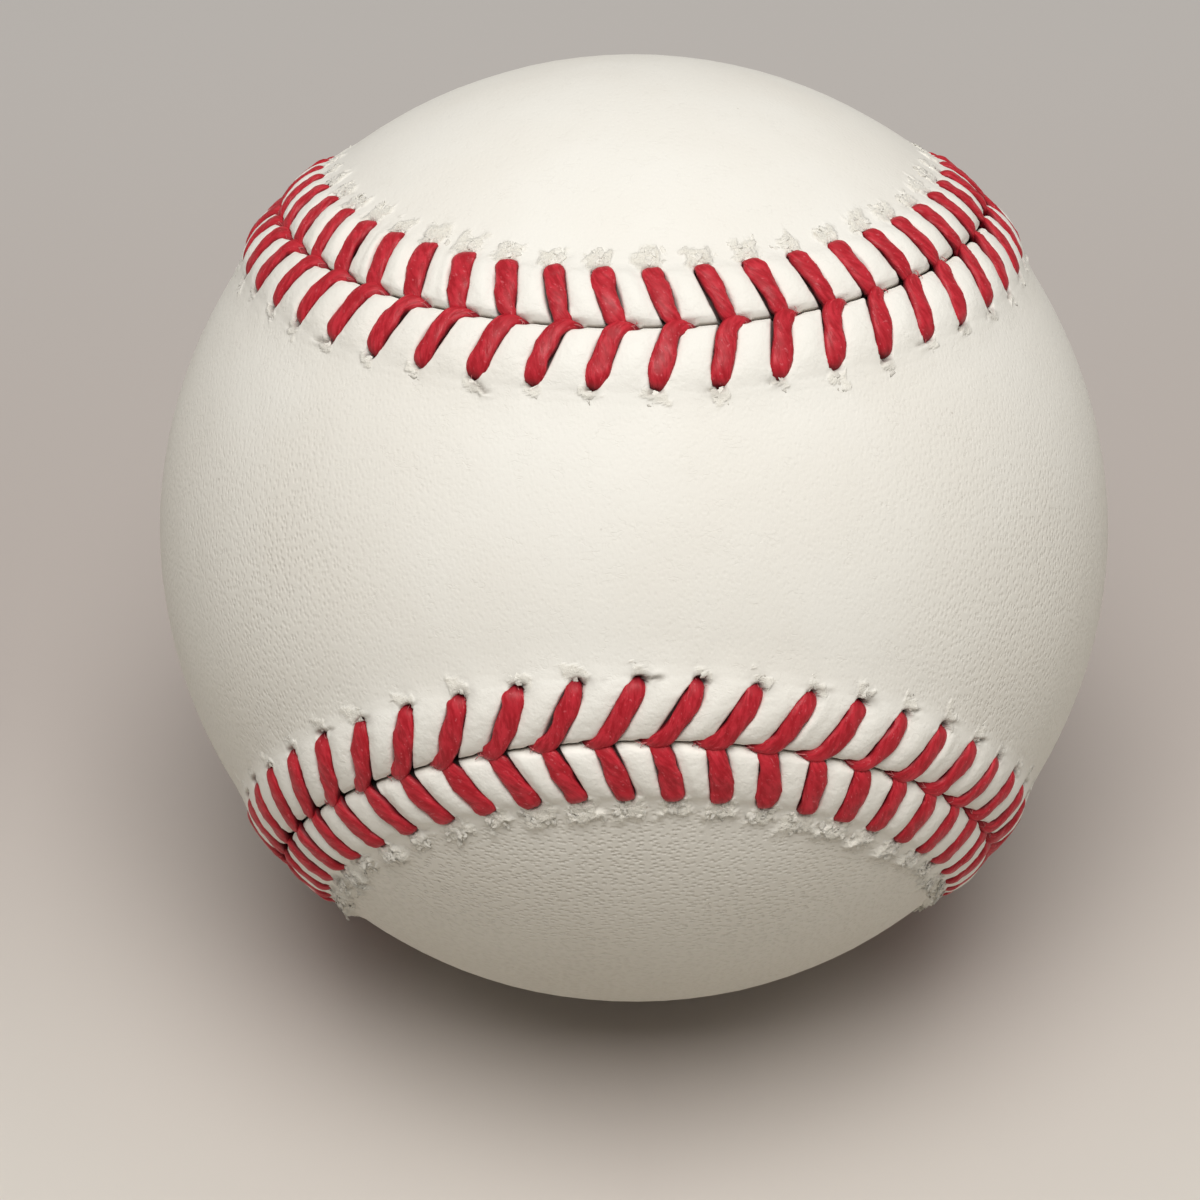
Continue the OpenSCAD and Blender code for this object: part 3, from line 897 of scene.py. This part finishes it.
class Paint:
    """A material's nodes, made and joined a line at a time."""

    def __init__(self, name, colour, roughness, **sockets):
        self.material = bpy.data.materials.new(name)
        self.material.use_nodes = True
        self.tree = self.material.node_tree
        self.shader = self.tree.nodes["Principled BSDF"]
        self.shader.inputs["Base Color"].default_value = colour
        self.shader.inputs["Roughness"].default_value = roughness
        for key, value in sockets.items():
            self.shader.inputs[key.replace("_", " ")].default_value = value
        self.place = self.node("ShaderNodeTexCoord").outputs["Object"]

    def node(self, kind, inputs=(), **settings):
        made = self.tree.nodes.new(kind)
        for key, value in settings.items():
            setattr(made, key, value)
        for key, value in dict(inputs).items():
            if isinstance(value, bpy.types.NodeSocket):
                self.tree.links.new(value, made.inputs[key])
            elif value is not None:
                made.inputs[key].default_value = value
        return made

    def stretch(self, vector, scale, tilt=(0, 0, 0)):
        made = self.node("ShaderNodeMapping", {"Vector": vector, "Rotation": tilt})
        made.inputs["Scale"].default_value = scale
        return made.outputs[0]

    def cloud(self, cell, detail=2.0, roughness=0.5, vector=None):
        """Noise from 0 to 1, with features of about the given size."""
        inputs = {"Scale": 1 / cell, "Detail": detail, "Roughness": roughness}
        inputs["Vector"] = self.place if vector is None else vector
        return self.node("ShaderNodeTexNoise", inputs).outputs["Fac"]

    def cells(self, cell, vector=None, **settings):
        inputs = {"Scale": 1 / cell, "Vector": self.place if vector is None else vector}
        return self.node("ShaderNodeTexVoronoi", inputs, **settings).outputs["Distance"]

    def calc(self, a, operation, b, c=None):
        inputs = {0: a, 1: b}
        if c is not None:
            inputs[2] = c
        return self.node("ShaderNodeMath", inputs, operation=operation).outputs[0]

    def times(self, a, b):
        return self.calc(a, "MULTIPLY", b)

    def ramp(self, value, low, high, to_low=0.0, to_high=1.0):
        inputs = {"Value": value, "From Min": low, "From Max": high}
        inputs.update({"To Min": to_low, "To Max": to_high})
        return self.node(
            "ShaderNodeMapRange", inputs, interpolation_type="SMOOTHSTEP"
        ).outputs[0]

    def mark(self, name, vector=False):
        made = self.node("ShaderNodeAttribute", attribute_name=name)
        return made.outputs["Vector" if vector else "Fac"]

    def mix(self, share, a, b):
        inputs = {MIX_SHARE: share, MIX_A: a, MIX_B: b}
        made = self.node("ShaderNodeMix", inputs, data_type="RGBA", clamp_factor=True)
        return made.outputs[MIX_RESULT]

    def join(self, key, value):
        self.tree.links.new(value, self.shader.inputs[key])

    def bump(self, height, distance, strength=1.0, below=None):
        inputs = {"Height": height, "Distance": distance, "Strength": strength}
        inputs["Normal"] = below
        return self.node("ShaderNodeBump", inputs).outputs["Normal"]


def leather_paint():
    base = rgb(247, 245, 239)
    m = Paint("cover_leather", base, 0.55, Specular_IOR_Level=0.22, Sheen_Roughness=0.4)
    fray = m.mark("fray")
    dirt = m.mark("dirt")
    dye = m.mark("dye")
    seam = m.mark("seam")

    # Grain: small pores close together, deeper in some places than in others.
    patchy = m.ramp(m.cloud(0.011, 1.0), 0.3, 0.7, 0.7, 1)
    hide = m.stretch(m.mark("hide", vector=True), (1, 0.65, 1))
    pores = m.ramp(m.cells(0.00039, hide, voronoi_dimensions="2D"), 0.06, 0.44, 1, 0)
    pores = m.times(m.times(pores, patchy), m.mark("grain"))
    small = m.ramp(m.cells(0.0004), 0.1, 0.5, 1, 0)
    small = m.times(m.times(small, patchy), 0.4)
    rumple = m.times(m.cloud(0.0007, 3.0, 0.55), m.mark("puff"))
    fine = m.cloud(0.00016, 1.0, 0.5)
    wavy = m.stretch(m.place, (0.5, 1, 1), (0.1, 0.2, 0.15))
    lines = m.calc(m.calc(m.cloud(0.0005, 1.0, 0.5, wavy), "SUBTRACT", 0.5), "ABSOLUTE", 0)
    crease = m.ramp(lines, 0.0, 0.03, 1, 0)
    crease = m.times(crease, m.ramp(m.cloud(0.0014, 1.0), 0.52, 0.66))
    specks = m.ramp(m.cells(0.0065), 0.018, 0.028, 1, 0)
    torn = m.cloud(0.0003, 4.0, 0.7)

    # Colour: faint blotches, a darker tint where the grain mark is high, painted shade in
    # the pores and creases, dye by the thread, and painted shade with some dirt in the seam,
    # the holes and along the thread.
    colour = m.mix(m.ramp(m.cloud(0.012), 0.3, 0.7), base, rgb(244, 241, 234))
    # The hide is tinted darker where the grain mark is high: on the worn coarse end and
    # towards the lower sides, which face away from the lamp. This is partly the worn hide's
    # tone and partly painted shade.
    colour = m.mix(m.times(m.mark("grain"), 0.55), colour, rgb(217, 211, 200))
    # Painted shade in the pores.
    colour = m.mix(m.times(pores, 0.12), colour, rgb(190, 180, 164))
    colour = m.mix(m.times(crease, 0.06), colour, rgb(206, 197, 182))
    colour = m.mix(m.times(specks, 0.3), colour, rgb(120, 106, 92))
    blush = m.times(dye, m.ramp(m.cloud(0.0016), 0.35, 0.65, 0.1, 0.45))
    colour = m.mix(blush, colour, rgb(214, 150, 148))
    colour = m.mix(m.times(fray, 0.9), colour, rgb(253, 249, 238))
    worn = m.ramp(torn, 0.3, 0.46, 0.35, 0.0)
    colour = m.mix(m.times(fray, worn), colour, rgb(186, 174, 150))
    # The leather's edge at the seam is painted darker, as the shade in the gap between the
    # panels, with some dirt.
    colour = m.mix(m.times(seam, 0.7), colour, rgb(136, 122, 108))
    # Painted shade in the cracks and round the awl holes' ends, partly a smudge; some shreds
    # are soiled.
    colour = m.mix(m.times(m.mark("smudge_and_shade"), 0.9), colour, rgb(92, 76, 62))
    # Painted shade, with some dirt: in the awl holes, along the thread's edges, on the lining
    # in the seam's gap and under the shreds.
    colour = m.mix(m.times(dirt, 0.9), colour, rgb(74, 40, 38))
    m.join("Base Color", colour)
    rough = m.ramp(m.cloud(0.004), 0.3, 0.7, 0.5, 0.6)
    rough = m.calc(m.times(fray, 0.3), "ADD", rough)
    m.join("Roughness", rough)
    m.join("Sheen Weight", m.times(fray, 0.8))

    soft = m.bump(fine, 0.00002, 0.5)
    grain = m.bump(m.times(crease, -1), 0.00002, 0.5, soft)
    grain = m.bump(m.times(pores, -1), 0.00007, 1.0, grain)
    grain = m.bump(m.times(small, -1), 0.000025, 1.0, grain)
    grain = m.bump(rumple, 0.00009, 1.0, grain)
    rags = m.bump(m.times(torn, fray), 0.00022, 1.0, grain)
    m.join("Normal", rags)
    return m.material


def thread_paint():
    base = rgb(190, 36, 50)
    m = Paint("waxed_thread", base, 0.5, Specular_IOR_Level=0.28)
    fibre = m.mark("fibre", vector=True)
    low = m.mark("low")
    under = m.mark("under")
    wisp = m.mark("wisp")
    streak = m.cloud(1.0, 3.0, 0.6, m.stretch(fibre, (1.0, 3.6, 1.0)))
    hair = m.cloud(1.0, 2.0, 0.6, m.stretch(fibre, (3.0, 14.0, 1.0)))
    patch = m.cloud(1.0, 2.0, 0.5, m.stretch(fibre, (1.1, 0.8, 1.0)))
    scuff = m.ramp(m.cloud(1.0, 2.0, 0.6, m.stretch(fibre, (3.4, 5.0, 1.0))), 0.62, 0.72)
    colour = m.mix(m.ramp(streak, 0.35, 0.65), rgb(166, 22, 36), rgb(202, 46, 60))
    colour = m.mix(m.ramp(patch, 0.4, 0.7, 0, 0.5), colour, rgb(172, 24, 38))
    colour = m.mix(m.times(scuff, 0.45), colour, rgb(226, 116, 124))
    # Painted shade on the thread's underside, where it sinks low, and at its ends.
    colour = m.mix(m.times(under, 0.85), colour, rgb(76, 14, 22))
    colour = m.mix(m.times(low, 0.7), colour, rgb(90, 18, 28))
    colour = m.mix(m.times(wisp, 0.8), colour, rgb(206, 120, 122))
    m.join("Base Color", colour)
    m.join("Roughness", m.ramp(patch, 0.3, 0.7, 0.38, 0.56))
    soft = m.bump(streak, 0.00007, 0.8)
    m.join("Normal", m.bump(hair, 0.00003, 0.5, soft))
    return m.material


def cork_paint():
    m = Paint("cork", rgb(176, 124, 78), 0.85)
    grains = m.cells(0.0012)
    specks = m.ramp(m.cells(0.0021), 0.1, 0.3, 1, 0)
    colour = m.mix(m.ramp(grains, 0.0, 0.6), rgb(150, 98, 58), rgb(200, 152, 102))
    m.join("Base Color", m.mix(m.times(specks, 0.7), colour, rgb(84, 50, 30)))
    m.join("Normal", m.bump(grains, 0.0002, 0.6))
    return m.material


def rubber_paint(name, dark, light):
    m = Paint(name, dark, 0.65)
    dust = m.cloud(0.003, 4.0, 0.6)
    m.join("Base Color", m.mix(m.ramp(dust, 0.35, 0.7), dark, light))
    m.join("Roughness", m.ramp(dust, 0.3, 0.7, 0.55, 0.8))
    m.join("Normal", m.bump(m.cloud(0.0006, 3.0), 0.00008, 0.5))
    return m.material


# The scale of Blender's wave bands is this over the distance between two of them.
WAVE_SCALE = 0.314


def yarn_paint(name, dark, light, ply):
    """Windings that cross each other at a slant, fuzzy and finely twisted."""
    m = Paint(name, dark, 0.95, Sheen_Weight=0.3, Sheen_Roughness=0.5)
    warped = m.cloud(0.006, 2.0)
    turns = []
    for tilt in ((0.4, 0.2, 0.9), (-0.7, 0.5, -0.4)):
        vector = m.stretch(m.place, (1, 1, 1), tilt)
        inputs = {"Scale": WAVE_SCALE / ply, "Distortion": 3.0, "Detail": 1.0}
        inputs["Vector"] = vector
        wave = m.node("ShaderNodeTexWave", inputs, wave_type="BANDS", bands_direction="Z")
        turns.append(wave.outputs["Fac"])
    over = m.ramp(warped, 0.47, 0.53)
    height = m.node(
        "ShaderNodeMix", {0: over, 2: turns[0], 3: turns[1]}, data_type="FLOAT"
    ).outputs[0]
    fuzz = m.cloud(0.0004, 3.0, 0.7)
    colour = m.mix(m.ramp(height, 0.1, 0.8), dark, light)
    m.join("Base Color", m.mix(m.ramp(fuzz, 0.4, 0.8, 0, 0.4), colour, dark))
    m.join("Normal", m.bump(fuzz, 0.0001, 0.5, m.bump(height, 0.0004, 1.0)))
    return m.material


def cement_paint():
    m = Paint("cement", rgb(206, 186, 138), 0.4)
    runs = m.cloud(0.005, 3.0, 0.6)
    m.join("Base Color", m.mix(m.ramp(runs, 0.3, 0.7), rgb(188, 164, 112), rgb(222, 206, 166)))
    m.join("Roughness", m.ramp(runs, 0.3, 0.7, 0.3, 0.55))
    m.join("Normal", m.bump(runs, 0.0002, 0.6))
    return m.material


black = rubber_paint("black_rubber", rgb(26, 25, 26), rgb(48, 46, 46))
red = rubber_paint("red_rubber", rgb(150, 46, 40), rgb(178, 70, 60))
grey = yarn_paint("grey_wool", rgb(104, 102, 100), rgb(158, 156, 152), 0.0011)
inner_paints = {
    "cork_core": cork_paint(),
    "black_cup_upper": black,
    "black_cup_lower": black,
    "gasket_upper": red,
    "gasket_lower": red,
    "red_cup_upper": red,
    "red_cup_lower": red,
    "grey_wool_inner": grey,
    "white_wool": yarn_paint("white_wool", rgb(190, 186, 176), rgb(232, 228, 218), 0.0009),
    "grey_wool_outer": grey,
    "cotton_winding": yarn_paint("cotton", rgb(206, 198, 180), rgb(240, 234, 220), 0.0004),
    "cement_coat": cement_paint(),
}
for node_name, paint in inner_paints.items():
    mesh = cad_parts[node_name].data
    if mesh.materials:
        mesh.materials[0] = paint
    else:
        mesh.materials.append(paint)


# The pieces.

leather = leather_paint()
thread = thread_paint()
for part, sgn, seed in (("front", 1, 11), ("back", -1, 41)):
    cover, tears = leather_panel("leather_panel_" + part, sgn, seed)
    shreds = leather_shreds("leather_shreds_" + part, sgn, seed + 7, tears)
    for piece in (cover, shreds):
        piece.data.materials.append(leather)
        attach(piece, "root")
    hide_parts("cover_panel_" + part)
for part, parity, seed in (("first", 0, 71), ("second", 1, 97)):
    piece = waxed_thread("waxed_thread_" + part, parity, seed)
    piece.data.materials.append(thread)
    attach(piece, "root")
    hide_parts("thread_" + part)


# Floor, light and camera.

def seen(tree):
    """1 for the rays that show a thing to the camera, also by way of a shiny surface."""
    path = tree.nodes.new("ShaderNodeLightPath").outputs
    value = path["Is Camera Ray"]
    for key in ("Is Glossy Ray", "Is Transmission Ray"):
        most = tree.nodes.new("ShaderNodeMath")
        most.operation = "MAXIMUM"
        tree.links.new(value, most.inputs[0])
        tree.links.new(path[key], most.inputs[1])
        value = most.outputs[0]
    return value


def floor_paint():
    # The floor as the camera sees it is painted light and shade: lighter in front of the ball
    # and out to the sides, darker round the ball and just behind it for its wide shade,
    # lighter again far behind. Other rays see one plain darker colour.
    near, middle, far = rgb(223, 218, 211), rgb(193, 184, 179), rgb(207, 203, 200)
    m = Paint("floor", middle, 0.9, Specular_IOR_Level=0.2)
    at = m.node("ShaderNodeSeparateXYZ", {"Vector": m.place}).outputs
    spread = m.calc(m.calc(at["X"], "ABSOLUTE", 0), "MULTIPLY_ADD", -0.6, at["Y"])
    colour = m.mix(m.ramp(spread, -0.085, -0.004), near, middle)
    colour = m.mix(m.ramp(at["Y"], 0.02, 0.2), colour, far)
    m.join("Base Color", m.mix(seen(m.tree), rgb(188, 182, 172), colour))
    return m.material


HALF_FLOOR = 4.0
floor_mesh = bpy.data.meshes.new("floor")
corners = [(-1, -1), (1, -1), (1, 1), (-1, 1)]
floor_mesh.from_pydata(
    [(x * HALF_FLOOR, y * HALF_FLOOR, -BALL_R * MM) for x, y in corners], [], [(0, 1, 2, 3)]
)
floor = bpy.data.objects.new("floor", floor_mesh)
floor.data.materials.append(floor_paint())
bpy.context.scene.collection.objects.link(floor)

world = bpy.data.worlds.new("studio")
bpy.context.scene.world = world
world.use_nodes = True
sky = world.node_tree
sky.nodes["Background"].inputs["Color"].default_value = rgb(255, 253, 250)
sky.nodes["Background"].inputs["Strength"].default_value = 0.07
backdrop = sky.nodes.new("ShaderNodeBackground")
backdrop.inputs["Color"].default_value = rgb(196, 190, 182)
backdrop.inputs["Strength"].default_value = 1.0
either = sky.nodes.new("ShaderNodeMixShader")
sky.links.new(seen(sky), either.inputs[0])
sky.links.new(sky.nodes["Background"].outputs[0], either.inputs[1])
sky.links.new(backdrop.outputs[0], either.inputs[2])
sky.links.new(either.outputs[0], sky.nodes["World Output"].inputs["Surface"])


def softbox(name, at, size, watts):
    lamp = bpy.data.lights.new(name, "AREA")
    lamp.shape = "RECTANGLE"
    lamp.size, lamp.size_y = size
    lamp.energy = watts
    lamp.color = rgb(255, 253, 249)[:3]
    holder = bpy.data.objects.new(name, lamp)
    holder.location = at
    holder.rotation_mode = "QUATERNION"
    holder.rotation_quaternion = Vector(at).to_track_quat("Z", "Y")
    bpy.context.scene.collection.objects.link(holder)


softbox("overhead", at=(0.0, -0.325, 0.882), size=(0.65, 0.65), watts=9.1)
softbox("left", at=(-0.95, -0.2, 0.13), size=(0.5, 0.25), watts=0.55)
softbox("right", at=(0.95, -0.2, 0.13), size=(0.5, 0.25), watts=0.85)

# The camera looks at the ball's centre from 6.5 radii away, raised by the seam's
# own tip, and a little turned. The shift puts the ball where the photo has it.
DISTANCE = 6.5 * BALL_R * MM
FOCAL_PIXELS = 3044
FRAME_PIXELS = 1200
SHIFT_PIXELS = (-34, -72)
SENSOR = 36.0
TURN_DEGREES = (0.76, 0.5, 0.44)
turned = Vector([math.radians(a) for a in TURN_DEGREES])
raised = math.radians(SEAM_TIP)
axes = Matrix(
    [
        [1, 0, 0],
        [0, math.sin(raised), -math.cos(raised)],
        [0, math.cos(raised), math.sin(raised)],
    ]
)
axes = axes @ Matrix.Rotation(-turned.length, 3, turned)
camera_data = bpy.data.cameras.new("camera")
camera_data.sensor_width = SENSOR
camera_data.lens = SENSOR * FOCAL_PIXELS / FRAME_PIXELS
camera_data.shift_x, camera_data.shift_y = (s / FRAME_PIXELS for s in SHIFT_PIXELS)
camera_data.clip_start = 0.01
camera_data.clip_end = 20
camera = bpy.data.objects.new("camera", camera_data)
camera.matrix_world = Matrix.Translation(axes @ Vector((0, 0, DISTANCE))) @ axes.to_4x4()
bpy.context.scene.collection.objects.link(camera)
bpy.context.scene.camera = camera
bpy.context.scene.view_settings.view_transform = "Standard"
